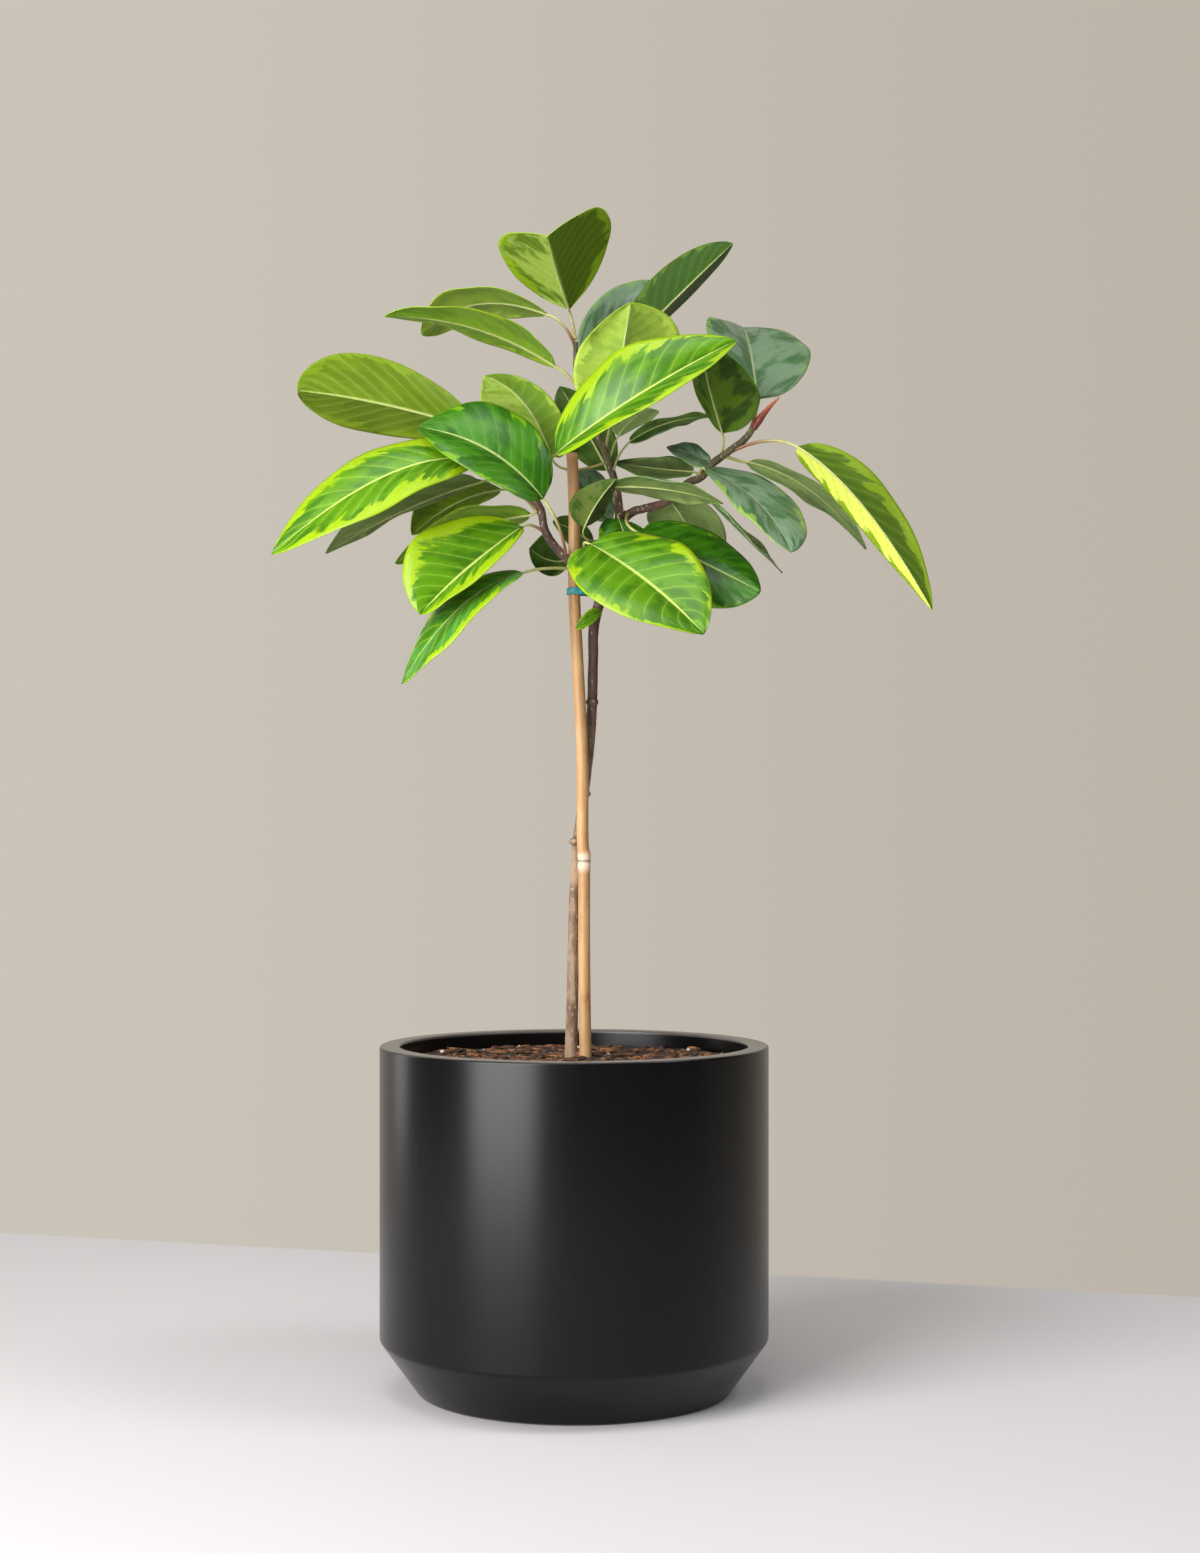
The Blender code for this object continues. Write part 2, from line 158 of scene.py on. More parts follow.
STAKE = [
    (10, -6, 130, 5.2),
    (10, -6, 298, 5.5),
    (9, -6, 394, 5.5),
    (9, -6, 464, 5.5),
    (9, -6, 470, 6.1),
    (9, -6, 474, 5.7),
    (9, -6, 479, 6.2),
    (8, -6, 486, 5.5),
    (7, -6, 573, 5.5),
    (3, -6, 655, 5.4),
    (0, -6, 717, 5.4),
    (0, -6, 790, 5.4),
    (-2, -6, 842, 5.3),
]
LEAF_SCARS = [(1, 4, 492, 6.4), (9, 6, 535, 6.2), (16, 6, 618, 6.3)]
BUD_RIGHT = [(161, -13, 862, 2.8), (166, -14, 870, 3.6), (174, -15, 880, 2.4), (184, -16, 890, 0.5)]
BUD_LEFT = [(-49, -24, 811, 2.6), (-50, -24, 817, 3.2), (-51, -24, 826, 2.2), (-53, -24, 837, 0.5)]

# One row a leaf, in millimetres: where the stalk leaves the stem, the blade's base, the middle
# of its midrib, its tip, then its left and right edges at the widest place.
LEAVES = [
    ("top_a", (1, 10, 947), (-5, 9, 974), (-16, -45, 998),
     (-22, -100, 1012), (32, -38, 1044), (-66, -30, 1017)),
    ("top_b", (3, 10, 907), (44, 50, 944), (95, 75, 1000),
     (148, 90, 1054), (103, 112, 1003), (77, 100, 1028)),
    ("top_c", (1, 10, 917), (5, 40, 939), (44, 110, 986),
     (93, 150, 1022), (33, 118, 1017), (61, 110, 958)),
    ("top_d", (28, 9, 845), (34, 0, 877), (44, -28, 930),
     (50, -50, 967), (95, -14, 933), (0, -14, 919)),
    ("top_e", (-32, -20, 797), (-16, -30, 837), (55, -70, 880),
     (142, -66, 930), (36, -56, 920), (64, -106, 865)),
    ("out_a", (3, 10, 905), (-17, 5, 922), (-90, -10, 953),
     (-168, -30, 959), (-82, -52, 960), (-81, 30, 950)),
    ("out_b", (1, 10, 939), (-25, 28, 974), (-91, 50, 988),
     (-142, 62, 962), (-101, 16, 997), (-88, 90, 982)),
    ("out_c", (-34, -21, 794), (-87, 5, 864), (-171, 5, 887),
     (-249, -5, 898), (-184, 12, 933), (-190, 42, 868)),
    ("left_a", (-49, -23, 810), (-87, -40, 830), (-166, -60, 812),
     (-263, -70, 743), (-147, -95, 786), (-178, -30, 841)),
    ("left_b", (-35, -19, 796), (-85, -10, 815), (-151, -12, 790),
     (-223, -10, 751), (-157, -48, 801), (-148, 28, 793)),
    ("left_c", (-28, -20, 779), (-67, 16, 812), (-109, 46, 804),
     (-151, 56, 776), (-129, 21, 819), (-104, 56, 795)),
    ("left_d", (-7, -21, 745), (-27, -50, 794), (-76, -48, 837),
     (-138, -25, 861), (-90, -80, 815), (-52, -30, 875)),
    ("mid_a", (31, 8, 836), (-22, 15, 843), (-46, 5, 889),
     (-81, -5, 911), (-13, 20, 883), (-77, 15, 882)),
    ("right_a", (156, -11, 857), (165, -2, 891), (162, 60, 948),
     (160, 125, 982), (121, 45, 964), (217, 50, 944)),
    ("right_b", (130, -9, 835), (133, -14, 858), (119, -34, 899),
     (110, -46, 937), (164, -28, 894), (107, -8, 904)),
    ("right_c", (141, -10, 842), (198, -30, 843), (257, -35, 789),
     (320, -20, 699), (239, -12, 793), (279, 0, 815)),
    ("right_d", (135, -10, 838), (155, -5, 833), (216, 20, 810),
     (267, 35, 760), (208, -15, 798), (226, 45, 820)),
    ("right_e", (113, -6, 819), (117, -16, 826), (161, -52, 791),
     (188, -100, 741), (193, -30, 798), (142, -75, 784)),
    ("right_f", (125, -8, 831), (124, 4, 834), (106, 10, 843),
     (84, 22, 851), (104, -4, 832), (109, 24, 855)),
    ("right_g", (104, -4, 816), (119, 0, 803), (156, 10, 771),
     (189, 15, 736), (153, -26, 767), (160, 46, 777)),
    ("right_h", (32, 8, 838), (40, 18, 861), (53, 50, 881),
     (70, 80, 897), (74, 60, 886), (38, 50, 888)),
    ("right_i", (35, 8, 824), (50, 0, 852), (85, 10, 871),
     (123, 12, 877), (84, -20, 860), (85, 40, 883)),
    ("core_a", (36, 6, 764), (9, -25, 772), (21, -40, 792),
     (38, -50, 812), (30, -5, 792), (-2, -20, 799)),
    ("core_b", (40, 7, 803), (34, -30, 808), (83, -45, 803),
     (131, -55, 789), (84, -12, 798), (80, -80, 807)),
    ("core_c", (113, -6, 819), (107, 5, 826), (73, 22, 832),
     (35, 42, 841), (86, 42, 845), (73, -3, 819)),
    ("core_d", (34, 8, 826), (30, 20, 830), (9, 45, 873),
     (-14, 60, 914), (32, 50, 879), (-12, 50, 864)),
    ("core_e", (43, 6, 790), (34, 25, 785), (16, 55, 808),
     (0, 80, 839), (0, 60, 804), (29, 60, 827)),
    ("core_f", (84, 0, 799), (85, 8, 802), (104, 25, 776),
     (115, 35, 736), (69, 30, 781), (137, 30, 779)),
    ("front_a", (27, 6, 727), (15, -42, 755), (66, -90, 715),
     (111, -130, 668), (98, -70, 748), (12, -112, 703)),
    ("front_b", (49, 5, 789), (59, -30, 766), (113, -45, 739),
     (163, -70, 710), (123, -20, 768), (104, -55, 702)),
    ("front_c", (44, 6, 788), (40, -8, 782), (52, -14, 748),
     (66, -16, 712), (84, -8, 748), (24, -12, 757)),
    ("front_d", (27, 7, 729), (-8, 12, 747), (-24, 16, 748),
     (-41, 20, 759), (-26, 25, 772), (-24, 10, 733)),
    ("front_e", (33, 6, 752), (16, 20, 762), (-2, 30, 777),
     (-20, 35, 785), (3, 35, 788), (-4, 25, 762)),
    ("low_a", (-25, -20, 767), (-46, -30, 772), (-94, -60, 730),
     (-133, -75, 690), (-79, -98, 721), (-135, -60, 760)),
    ("low_b", (-33, -20, 788), (-39, -15, 785), (-101, 5, 773),
     (-163, 15, 745), (-100, -30, 787), (-97, 45, 765)),
    ("low_c", (17, -8, 734), (-46, -50, 729), (-100, -75, 694),
     (-149, -80, 629), (-85, -108, 684), (-104, -42, 714)),
    ("sprout", (20, 6, 697), (24, -3, 698), (13, -14, 692),
     (1, -18, 683), (13, -17, 685), (15, -9, 701)),
]

# Colours are linear. A skin has a middle tone, darker flecks, a margin that starts some way out
# from the midrib, pale veins and a midrib.
LIME = {
    "middle": (0.092, 0.250, 0.003), "fleck": (0.044, 0.155, 0.002), "margin": (0.300, 0.460, 0.004),
    "pale": (0.340, 0.560, 0.050), "rib": (0.600, 0.700, 0.160), "start": 0.80,
}
DEEP = {
    "middle": (0.042, 0.175, 0.003), "fleck": (0.018, 0.095, 0.002), "margin": (0.150, 0.330, 0.005),
    "pale": (0.120, 0.330, 0.040), "rib": (0.450, 0.560, 0.160), "start": 0.95, "veined": 0.3,
}
SHADED = {
    "middle": (0.016, 0.075, 0.008), "fleck": (0.010, 0.045, 0.006), "margin": (0.060, 0.170, 0.012),
    "pale": (0.070, 0.180, 0.035), "rib": (0.200, 0.290, 0.080), "start": 0.95, "veined": 0.25,
}
# Green leaf colour with a painted bluish sheen: the blue-grey tint stands in for reflected light.
GREEN_WITH_PAINTED_SHEEN = {
    "middle": (0.165, 0.255, 0.150), "fleck": (0.060, 0.140, 0.050), "margin": (0.190, 0.330, 0.090),
    "pale": (0.220, 0.320, 0.200), "rib": (0.330, 0.400, 0.220), "start": 0.95, "veined": 0.25,
}
OLIVE = {
    "middle": (0.150, 0.260, 0.010), "fleck": (0.100, 0.190, 0.008), "margin": (0.250, 0.400, 0.010),
    "pale": (0.330, 0.460, 0.060), "rib": (0.450, 0.560, 0.130), "start": 0.84, "veined": 0.30,
}
FRESH = {
    "middle": (0.300, 0.450, 0.050), "fleck": (0.230, 0.370, 0.040), "margin": (0.420, 0.580, 0.070),
    "pale": (0.420, 0.560, 0.130), "rib": (0.500, 0.620, 0.200), "start": 0.84, "veined": 0.25,
}
GREEN = {
    "middle": (0.185, 0.330, 0.020), "fleck": (0.130, 0.260, 0.015), "margin": (0.290, 0.450, 0.020),
    "pale": (0.260, 0.420, 0.070), "rib": (0.380, 0.500, 0.130), "start": 0.86, "veined": 0.25,
}
# Painted shade: a darkened under skin for leaves that hang in shade.
SHADED_UNDERSIDE = {
    "middle": (0.058, 0.120, 0.012), "fleck": (0.036, 0.082, 0.008), "margin": (0.095, 0.170, 0.018),
    "pale": (0.110, 0.190, 0.045), "rib": (0.230, 0.310, 0.090), "start": 0.90, "veined": 0.25,
}
ASH = {
    "middle": (0.220, 0.310, 0.090), "fleck": (0.165, 0.240, 0.070), "margin": (0.290, 0.400, 0.110),
    "pale": (0.250, 0.330, 0.130), "rib": (0.330, 0.410, 0.180), "start": 0.90, "veined": 0.25,
}

# Upper and under skins of each leaf. Where halves are given, one half has a painted lit tone and the other a painted
# shaded tone.
LEAF_LOOKS = {
    "top_a": (LIME, {**OLIVE, "lit_and_shaded_halves": ((0.095, 0.175, 0.003), (0.330, 0.450, 0.070))}),
    "top_b": (DEEP, {**SHADED_UNDERSIDE, "middle": (0.030, 0.085, 0.008), "rib": (0.30, 0.42, 0.12)}),
    "top_c": (GREEN_WITH_PAINTED_SHEEN, ASH),
    "top_d": (LIME, FRESH),
    "top_e": ({**LIME, "start": 0.76}, OLIVE),
    "out_a": (LIME, GREEN),
    "out_b": (LIME, FRESH),
    "out_c": (LIME, {**OLIVE, "middle": (0.125, 0.205, 0.008), "fleck": (0.100, 0.175, 0.006), "margin": (0.170, 0.270, 0.010)}),
    "left_a": ({**LIME, "start": 0.70}, FRESH),
    "left_b": (SHADED, ASH),
    "left_c": (DEEP, OLIVE),
    "left_d": (DEEP, OLIVE),
    "mid_a": (LIME, {**FRESH, "lit_and_shaded_halves": ((0.180, 0.330, 0.030), (0.340, 0.490, 0.080))}),
    "right_a": (GREEN_WITH_PAINTED_SHEEN, SHADED_UNDERSIDE),
    "right_b": (DEEP, {**SHADED_UNDERSIDE, "middle": (0.100, 0.195, 0.010)}),
    "right_c": (DEEP, {**OLIVE, "lit_and_shaded_halves": ((0.800, 0.900, 0.140), (0.080, 0.160, 0.004)), "start": 0.70}),
    "right_d": (GREEN_WITH_PAINTED_SHEEN, ASH),
    "right_e": ({**GREEN_WITH_PAINTED_SHEEN, "margin": (0.25, 0.42, 0.06)}, ASH),
    "right_f": (GREEN_WITH_PAINTED_SHEEN, SHADED_UNDERSIDE),
    "right_g": (GREEN_WITH_PAINTED_SHEEN, ASH),
    "right_h": (GREEN_WITH_PAINTED_SHEEN, ASH),
    "right_i": (GREEN_WITH_PAINTED_SHEEN, SHADED_UNDERSIDE),
    "core_a": (SHADED, {**SHADED_UNDERSIDE, "middle": (0.090, 0.120, 0.022)}),
    "core_b": (GREEN_WITH_PAINTED_SHEEN, ASH),
    "core_c": ({**DEEP, "start": 0.72, "middle": (0.060, 0.170, 0.020)}, ASH),
    "core_d": (SHADED, SHADED_UNDERSIDE),
    "core_e": (GREEN_WITH_PAINTED_SHEEN, ASH),
    "core_f": (GREEN_WITH_PAINTED_SHEEN, {**ASH, "margin": (0.26, 0.33, 0.12)}),
    "front_a": ({**LIME, "start": 0.84}, FRESH),
    "front_b": (DEEP, OLIVE),
    "front_c": (DEEP, OLIVE),
    "front_d": (SHADED, SHADED_UNDERSIDE),
    "front_e": (SHADED, SHADED_UNDERSIDE),
    "low_a": ({**LIME, "start": 0.62}, FRESH),
    "low_b": (DEEP, GREEN),
    "low_c": ({**LIME, "start": 0.88, "middle": (0.055, 0.240, 0.030)}, FRESH),
    "sprout": (LIME, FRESH),
}


class Shades:
    """A material's node tree, built by short calls that each return a socket."""

    def __init__(self, name):
        self.material = bpy.data.materials.new(name)
        self.material.use_nodes = True
        self.nodes = self.material.node_tree.nodes
        self.links = self.material.node_tree.links
        self.shader = self.nodes["Principled BSDF"]

    def put(self, socket, value):
        if isinstance(value, bpy.types.NodeSocket):
            self.links.new(value, socket)
        elif isinstance(value, tuple) and len(value) == 3 and socket.type == "RGBA":
            socket.default_value = (*value, 1.0)
        else:
            socket.default_value = value

    def math(self, operation, first, second=0.0, third=0.0):
        made = self.nodes.new("ShaderNodeMath")
        made.operation = operation
        for socket, value in zip(made.inputs, (first, second, third)):
            self.put(socket, value)
        return made.outputs[0]

    def mix(self, share, first, second):
        made = self.nodes.new("ShaderNodeMix")
        made.data_type = "RGBA"
        self.put(made.inputs["Factor"], share)
        self.put(made.inputs[6], first)
        self.put(made.inputs[7], second)
        return made.outputs[2]

    def ramp(self, value, low, high, start=0.0, end=1.0):
        """Value carried smoothly from low..high to start..end."""
        made = self.nodes.new("ShaderNodeMapRange")
        made.interpolation_type = "SMOOTHSTEP"
        for socket, number in zip(made.inputs, (value, low, high, start, end)):
            self.put(socket, number)
        return made.outputs[0]

    def noise(self, vector, scale, detail=3.0, roughness=0.5):
        made = self.nodes.new("ShaderNodeTexNoise")
        self.put(made.inputs["Vector"], vector)
        self.put(made.inputs["Scale"], scale)
        self.put(made.inputs["Detail"], detail)
        self.put(made.inputs["Roughness"], roughness)
        return made.outputs["Fac"]

    def cells(self, vector, scale):
        made = self.nodes.new("ShaderNodeTexVoronoi")
        self.put(made.inputs["Vector"], vector)
        self.put(made.inputs["Scale"], scale)
        return made

    def place(self, stretch=(1.0, 1.0, 1.0)):
        """Where a point is on the object, stretched along the axes."""
        where = self.nodes.new("ShaderNodeTexCoord")
        scaled = self.nodes.new("ShaderNodeMapping")
        scaled.inputs["Scale"].default_value = stretch
        self.links.new(where.outputs["Object"], scaled.inputs["Vector"])
        return scaled.outputs[0]

    def vector(self, x, y, z):
        made = self.nodes.new("ShaderNodeCombineXYZ")
        for socket, value in zip(made.inputs, (x, y, z)):
            self.put(socket, value)
        return made.outputs[0]

    def split(self, vector):
        made = self.nodes.new("ShaderNodeSeparateXYZ")
        self.put(made.inputs[0], vector)
        return made.outputs

    def bump(self, height, distance, strength=1.0, under=None):
        made = self.nodes.new("ShaderNodeBump")
        self.put(made.inputs["Height"], height)
        made.inputs["Distance"].default_value = distance
        made.inputs["Strength"].default_value = strength
        if under:
            self.put(made.inputs["Normal"], under)
        return made.outputs[0]

    def finish(self, colour, roughness, normal=None, **fixed):
        self.put(self.shader.inputs["Base Color"], colour)
        self.put(self.shader.inputs["Roughness"], roughness)
        if normal:
            self.put(self.shader.inputs["Normal"], normal)
        for name, value in fixed.items():
            self.shader.inputs[name.replace("_", " ")].default_value = value
        return self.material


def leaf_skin(name, look, seed, under):
    """Blade skin over the leaf map: across it -1 to 1, along it 0 to 1."""
    s = Shades(name)
    leaf_map = s.nodes.new("ShaderNodeUVMap")
    leaf_map.uv_map = "leaf"
    across, along, _ = s.split(leaf_map.outputs[0])
    side = s.math("ABSOLUTE", across)
    lane = s.math("SUBTRACT", along, s.math("MULTIPLY", side, VEIN_SWEEP))
    half = s.math("SIGN", across)
    feathers = s.vector(
        s.math("MULTIPLY", lane, 9.0),
        s.math("MULTIPLY", side, 1.5),
        s.math("MULTIPLY_ADD", half, 7.0, seed * 1.3),
    )
    flames = s.noise(feathers, 1.0, 4.0, 0.6)
    drift = s.vector(
        s.math("MULTIPLY", lane, 6.0),
        s.math("MULTIPLY", side, 2.0),
        s.math("MULTIPLY_ADD", half, 5.0, seed + 3.7),
    )
    blotches = s.noise(drift, 1.0, 3.0, 0.55)
    grain = s.noise(s.vector(s.math("MULTIPLY", along, 3.0), across, seed), 14.0, 2.0, 0.5)
    start = s.math("MULTIPLY_ADD", s.math("SUBTRACT", flames, 0.5), look.get("ragged", 1.3), look["start"])
    start = s.math("MINIMUM", start, s.math("MULTIPLY_ADD", along, -0.55, 0.72 + look["start"]))
    margin = s.ramp(s.math("SUBTRACT", side, start), -0.04, 0.06)
    rim = s.math("MULTIPLY", s.ramp(side, 0.955, 0.985), 0.8)
    margin = s.math("MAXIMUM", margin, rim)
    phase = s.math("FRACT", s.math("MULTIPLY_ADD", lane, VEINS, 20.0 + 0.37 * seed))
    off_vein = s.math("ABSOLUTE", s.math("SUBTRACT", phase, 0.5))
    vein = s.math("MULTIPLY", s.ramp(off_vein, 0.075, 0.01), s.ramp(side, 0.95, 0.60))
    valley = s.ramp(off_vein, 0.36, 0.12)
    rib = s.ramp(side, 0.045, 0.014)
    tint = s.mix(s.ramp(blotches, 0.44, 0.58), look["middle"], look["fleck"])
    # Painted light and shade: one half of the blade takes a lighter tone as if lit, the other a darker tone as if in
    # shade.
    lit_and_shaded_halves = look.get("lit_and_shaded_halves")
    if lit_and_shaded_halves:
        tint = s.mix(s.ramp(across, -0.03, 0.03), lit_and_shaded_halves[0], s.mix(s.ramp(blotches, 0.44, 0.58), lit_and_shaded_halves[1], look["fleck"]))
    colour = s.mix(s.math("MULTIPLY", margin, look.get("cover", 1.0)), tint, look["margin"])
    colour = s.mix(s.math("MULTIPLY", valley, 0.08), colour, look["pale"])
    colour = s.mix(s.math("MULTIPLY", vein, look.get("veined", 0.4)), colour, look["pale"])
    colour = s.mix(s.math("MULTIPLY", rib, look.get("ribbed", 0.85)), colour, look["rib"])
    colour = s.mix(s.math("MULTIPLY", s.ramp(grain, 0.35, 0.75), 0.16), colour, look["fleck"])
    raised = s.math("MULTIPLY", vein, 0.9 if under else -0.6)
    height = s.math("ADD", raised, s.math("MULTIPLY", grain, 0.12))
    normal = s.bump(height, 0.0003, 0.3)
    smoothest = 0.46 if under else 0.27
    roughness = s.ramp(grain, 0.3, 0.8, smoothest, smoothest + 0.13)
    s.finish(colour, roughness, normal, Specular_IOR_Level=0.12 if under else 0.32)
    glow = s.nodes.new("ShaderNodeBsdfTranslucent")
    s.put(glow.inputs["Color"], s.mix(0.5, colour, look["margin"]))
    share = s.nodes.new("ShaderNodeMixShader")
    share.inputs[0].default_value = LEAF_GLOW
    s.links.new(s.shader.outputs[0], share.inputs[1])
    s.links.new(glow.outputs[0], share.inputs[2])
    s.links.new(share.outputs[0], s.nodes["Material Output"].inputs["Surface"])
    return s.material


def stalk_skin(name, colour_far, colour_near):
    """Leaf stalk and midrib: near the stem it takes the first colour, along the blade the second."""
    s = Shades(name)
    leaf_map = s.nodes.new("ShaderNodeUVMap")
    leaf_map.uv_map = "leaf"
    _, along, _ = s.split(leaf_map.outputs[0])
    streaks = s.noise(s.place((1.0, 1.0, 0.25)), 900.0, 3.0)
    colour = s.mix(s.ramp(along, -0.9, 0.05), colour_near, colour_far)
    colour = s.mix(s.math("MULTIPLY", s.ramp(streaks, 0.4, 0.7), 0.3), colour, (0.16, 0.11, 0.03))
    return s.finish(colour, s.ramp(streaks, 0.3, 0.7, 0.35, 0.5), s.bump(streaks, 0.0002, 0.5))


def pot_skin():
    """Satin black composite: fine pits, faint vertical handling marks and dust near the foot."""
    s = Shades("pot_satin_black")
    fine = s.noise(s.place(), 900.0, 4.0, 0.6)
    broad = s.noise(s.place((1.0, 1.0, 0.35)), 9.0, 4.0, 0.55)
    streak = s.noise(s.place((14.0, 14.0, 0.8)), 6.0, 3.0, 0.6)
    x, y, height = s.split(s.place())
    reach = s.math("SQRT", s.math("ADD", s.math("MULTIPLY", x, x), s.math("MULTIPLY", y, y)))
    dust = s.math("MULTIPLY", s.ramp(height, 0.09, 0.0), s.ramp(broad, 0.40, 0.65))
    # A pale grey band on the flat top of the rim.
    rim = s.math("MULTIPLY", s.ramp(height, RIM_PALE_FROM, RIM_PALE_TO), s.ramp(reach, POT_RADIUS, POT_RADIUS - 0.0025))
    colour = s.mix(s.ramp(broad, 0.35, 0.7), (0.0010, 0.0009, 0.0010), (0.0020, 0.0018, 0.0018))
    colour = s.mix(s.math("MULTIPLY", dust, 0.25), colour, (0.009, 0.008, 0.008))
    colour = s.mix(s.math("MULTIPLY", rim, 0.8), colour, (0.130, 0.112, 0.100))
    wear = s.math("ADD", s.math("MULTIPLY", broad, 0.6), s.math("MULTIPLY", streak, 0.4))
    roughness = s.ramp(wear, 0.3, 0.7, 0.25, 0.28)
    normal = s.bump(fine, 0.00010, 0.25, s.bump(broad, 0.0006, 0.15))
    return s.finish(colour, roughness, normal, Specular_IOR_Level=0.27)


def soil_skin():
    s = Shades("soil_mix_dark")
    crumbs = s.noise(s.place(), 260.0, 6.0, 0.65)
    clods = s.noise(s.place(), 60.0, 4.0, 0.6)
    colour = s.mix(s.ramp(crumbs, 0.35, 0.65), (0.012, 0.007, 0.004), (0.060, 0.034, 0.019))
    colour = s.mix(s.ramp(clods, 0.55, 0.75), colour, (0.10, 0.058, 0.030))
    return s.finish(colour, 0.95, s.bump(crumbs, 0.0022, 1.0, s.bump(clods, 0.004, 0.6)))


def chip_skin(name, dark, light):
    s = Shades(name)
    fibres = s.noise(s.place((1.0, 0.25, 1.0)), 700.0, 4.0, 0.6)
    patches = s.noise(s.place(), 45.0, 2.0)
    colour = s.mix(s.ramp(s.math("ADD", s.math("MULTIPLY", fibres, 0.6), s.math("MULTIPLY", patches, 0.5)), 0.40, 0.68), dark, light)
    return s.finish(colour, 0.85, s.bump(fibres, 0.0006, 0.9))


def bark_skin():
    """Young bark: grey-brown with pale corky specks low down, darker and redder higher up."""
    s = Shades("bark_grey_brown")
    _, _, height = s.split(s.place())
    fibres = s.noise(s.place((1.0, 1.0, 0.12)), 420.0, 5.0, 0.6)
    patches = s.noise(s.place((1.0, 1.0, 0.4)), 90.0, 4.0, 0.6)
    specks = s.cells(s.place((1.0, 1.0, 0.45)), 330.0).outputs["Distance"]
    colour = s.mix(s.ramp(patches, 0.35, 0.65), (0.130, 0.072, 0.036), (0.330, 0.225, 0.140))
    higher = s.mix(s.ramp(patches, 0.35, 0.65), (0.050, 0.024, 0.015), (0.105, 0.056, 0.034))
    colour = s.mix(s.ramp(height, 0.50, 0.68), colour, higher)
    green = s.mix(s.ramp(patches, 0.35, 0.65), (0.055, 0.050, 0.018), (0.120, 0.095, 0.035))
    colour = s.mix(s.ramp(height, 0.79, 0.84), colour, green)
    colour = s.mix(s.math("MULTIPLY", s.ramp(specks, 0.30, 0.12), 0.6), colour, (0.44, 0.37, 0.29))
    colour = s.mix(s.math("MULTIPLY", s.ramp(fibres, 0.5, 0.75), 0.35), colour, (0.040, 0.022, 0.013))
    rough = s.ramp(patches, 0.3, 0.7, 0.62, 0.82)
    return s.finish(colour, rough, s.bump(fibres, 0.0008, 0.8, s.bump(specks, 0.0006, 0.5)))


def bamboo_skin():
    """Dry cane: fine long fibres, honey and rust patches, a whitish bloom at the node ring."""
    s = Shades("bamboo_honey")
    _, _, height = s.split(s.place())
    fibres = s.noise(s.place((1.0, 1.0, 0.02)), 650.0, 4.0, 0.6)
    patches = s.noise(s.place((1.0, 1.0, 0.22)), 42.0, 4.0, 0.6)
    rust = s.noise(s.place((1.0, 1.0, 0.3)), 75.0, 3.0, 0.55)
    colour = s.mix(s.ramp(patches, 0.35, 0.65), (0.36, 0.185, 0.068), (0.50, 0.300, 0.130))
    low_down = s.ramp(height, 0.50, 0.36)
    colour = s.mix(s.math("MULTIPLY", s.ramp(rust, 0.48, 0.62), s.math("MULTIPLY_ADD", low_down, 0.55, 0.25)), colour, (0.27, 0.085, 0.020))
    colour = s.mix(s.math("MULTIPLY", s.ramp(fibres, 0.50, 0.72), 0.35), colour, (0.27, 0.135, 0.050))
    ring = s.math("MULTIPLY", s.ramp(height, 0.462, 0.470), s.ramp(height, 0.484, 0.478))
    colour = s.mix(s.math("MULTIPLY", ring, 0.7), colour, (0.72, 0.62, 0.47))
    seam = s.math("MULTIPLY", s.ramp(height, 0.4725, 0.4742), s.ramp(height, 0.4762, 0.4748))
    colour = s.mix(s.math("MULTIPLY", seam, 0.7), colour, (0.16, 0.085, 0.04))
    top = s.ramp(height, 0.8408, 0.8414)
    colour = s.mix(top, colour, (0.06, 0.035, 0.02))
    return s.finish(colour, s.ramp(patches, 0.3, 0.7, 0.40, 0.55), s.bump(fibres, 0.0003, 0.7))


def tie_skin():
    s = Shades("tie_teal_tape")
    weave = s.noise(s.place((1.0, 1.0, 3.0)), 900.0, 3.0)
    worn = s.noise(s.place(), 160.0, 3.0)
    colour = s.mix(s.ramp(worn, 0.35, 0.7), (0.010, 0.180, 0.200), (0.040, 0.320, 0.330))
    return s.finish(colour, s.ramp(weave, 0.3, 0.7, 0.42, 0.60), s.bump(weave, 0.0003, 0.6))


def bud_skin(name, base, tip, low, high):
    """Bud sheath: red-brown at its base, paler and orange to its tip, with long faint ridges."""
    s = Shades(name)
    _, _, height = s.split(s.place())
    ridges = s.noise(s.place((1.0, 1.0, 0.1)), 800.0, 3.0)
    colour = s.mix(s.ramp(height, low, high), base, tip)
    colour = s.mix(s.math("MULTIPLY", s.ramp(ridges, 0.5, 0.7), 0.4), colour, (0.14, 0.025, 0.012))
    return s.finish(colour, s.ramp(ridges, 0.3, 0.7, 0.30, 0.45), s.bump(ridges, 0.0003, 0.7))


def add_piece(name, mesh, node, materials):
    """A visible piece that stands for the CAD node of the given name."""
    made = bpy.data.objects.new(name, mesh)
    bpy.context.scene.collection.objects.link(made)
    for material in materials:
        mesh.materials.append(material)
    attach(made, ROOT)
    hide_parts(node)
    return made


def smooth(mesh):
    for face in mesh.polygons:
        face.use_smooth = True


def evaluated_mesh(made):
    bpy.context.view_layer.update()
    view = bpy.context.evaluated_depsgraph_get()
    return bpy.data.meshes.new_from_object(made.evaluated_get(view))


def rounded_profile(corners, radius, steps):
    """The corners of an open (radius, height) line, each but the first and last turned into a round."""
    points = [Vector(corners[0])]
    for index in range(1, len(corners) - 1):
        here = Vector(corners[index])
        start = here + (Vector(corners[index - 1]) - here).normalized() * radius
        end = here + (Vector(corners[index + 1]) - here).normalized() * radius
        points += [bezier(start, here, end, step / steps) for step in range(steps + 1)]
    return points + [Vector(corners[-1])]


